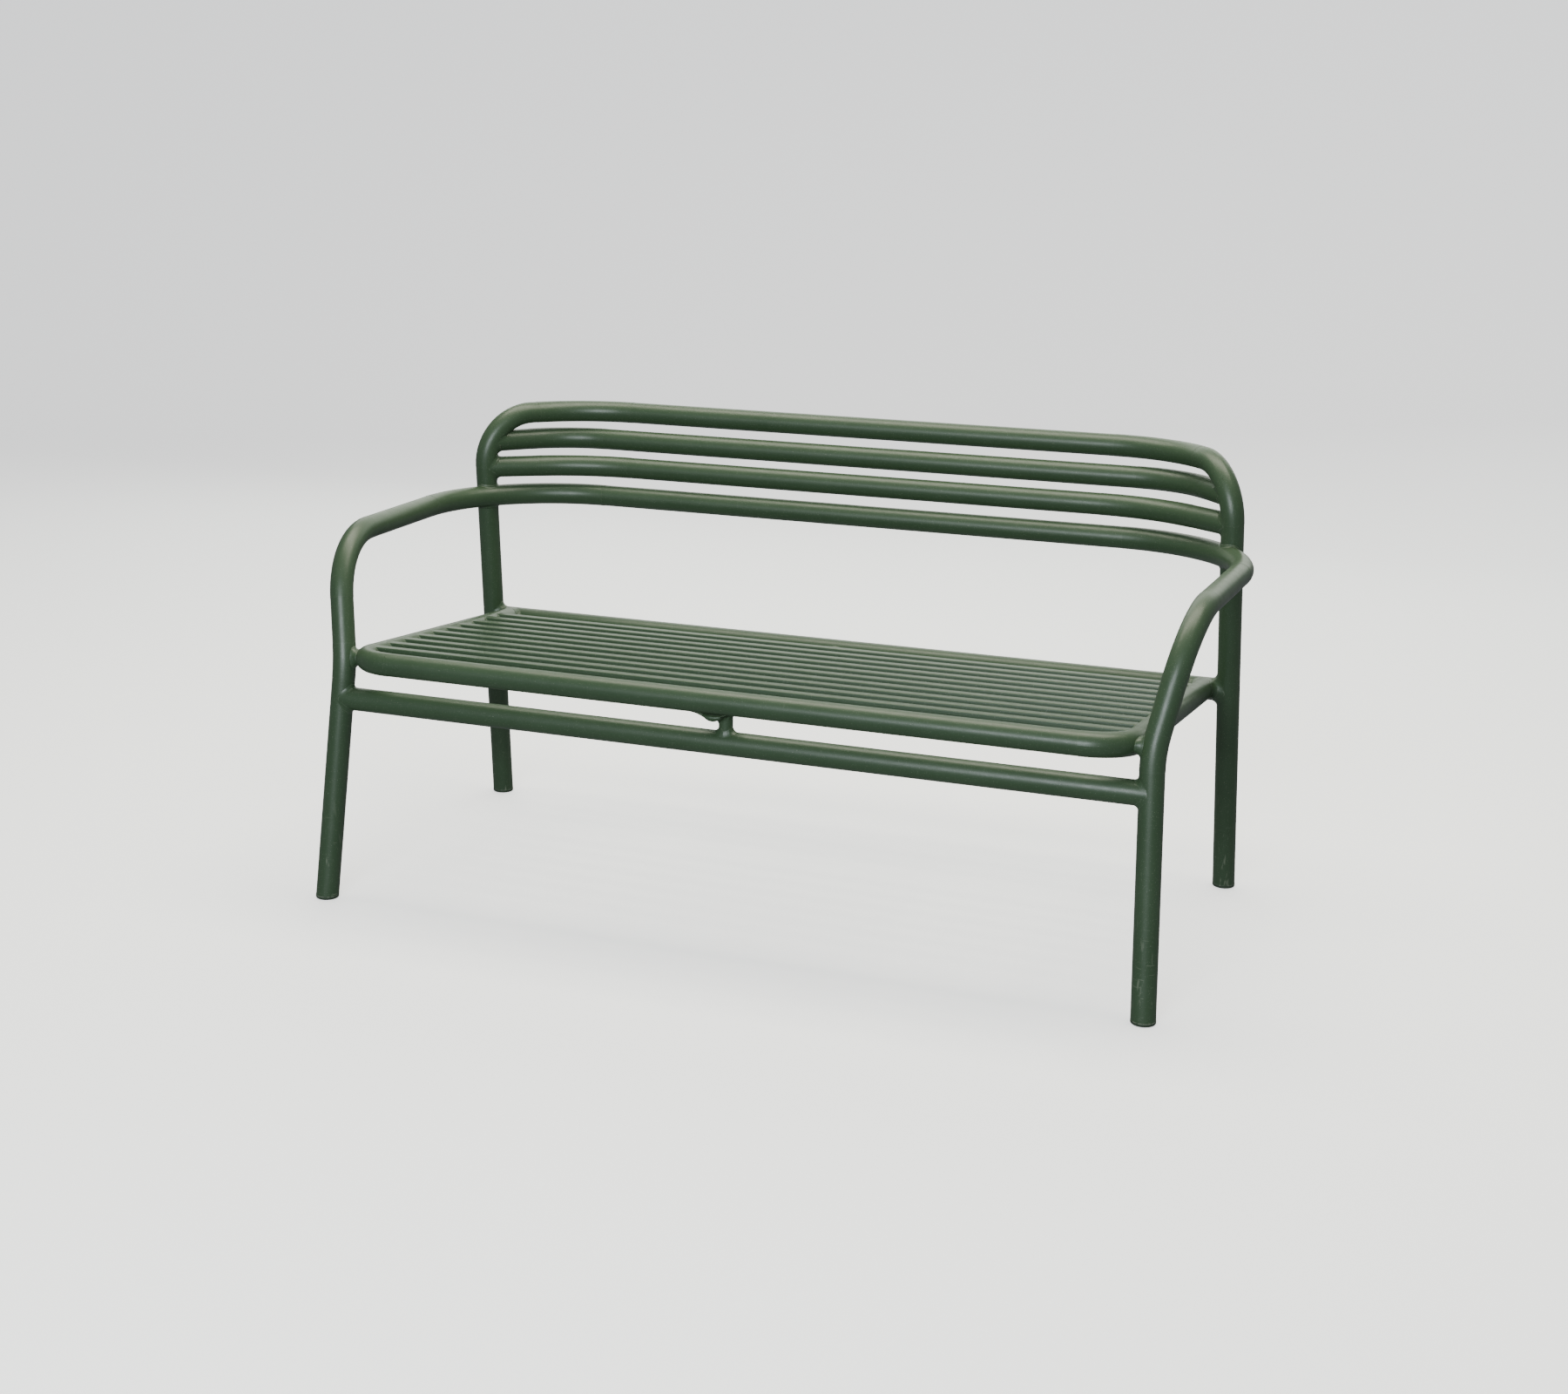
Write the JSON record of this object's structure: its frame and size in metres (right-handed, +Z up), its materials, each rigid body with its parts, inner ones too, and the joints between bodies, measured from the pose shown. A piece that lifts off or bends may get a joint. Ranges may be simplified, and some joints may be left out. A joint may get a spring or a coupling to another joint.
{
  "type": "bench",
  "caption": "Welded tubular metal bench with a back and arms, a slatted seat and plastic foot glides, in dark green powder coat.",
  "frame": {"origin": "on the ground below the middle of the bench, at the centre of its bounding box's base", "axes": "+X along the seat, towards the sitter's left; -Y is the front; +Z is up"},
  "size_m": [1.4626, 0.7556, 0.7555],
  "materials": {
    "green_coat": "satin",
    "glide_plastic": "matte"
  },
  "bodies": {
    "root": {"back_hoop": "green_coat", "back_slat_upper": "green_coat", "back_slat_lower": "green_coat", "arm_tube": "green_coat", "seat_frame": "green_coat", "seat_rear_rail": "green_coat", "seat_slat_1": "green_coat", "seat_slat_2": "green_coat", "seat_slat_3": "green_coat", "seat_slat_4": "green_coat", "seat_slat_5": "green_coat", "seat_slat_6": "green_coat", "seat_slat_7": "green_coat", "seat_slat_8": "green_coat", "seat_slat_9": "green_coat", "seat_slat_10": "green_coat", "seat_bearer": "green_coat", "front_stretcher": "green_coat", "centre_post": "green_coat", "foot_glide_front_left": "glide_plastic", "foot_glide_front_right": "glide_plastic", "foot_glide_rear_left": "glide_plastic", "foot_glide_rear_right": "glide_plastic"}
  },
  "joints": []
}
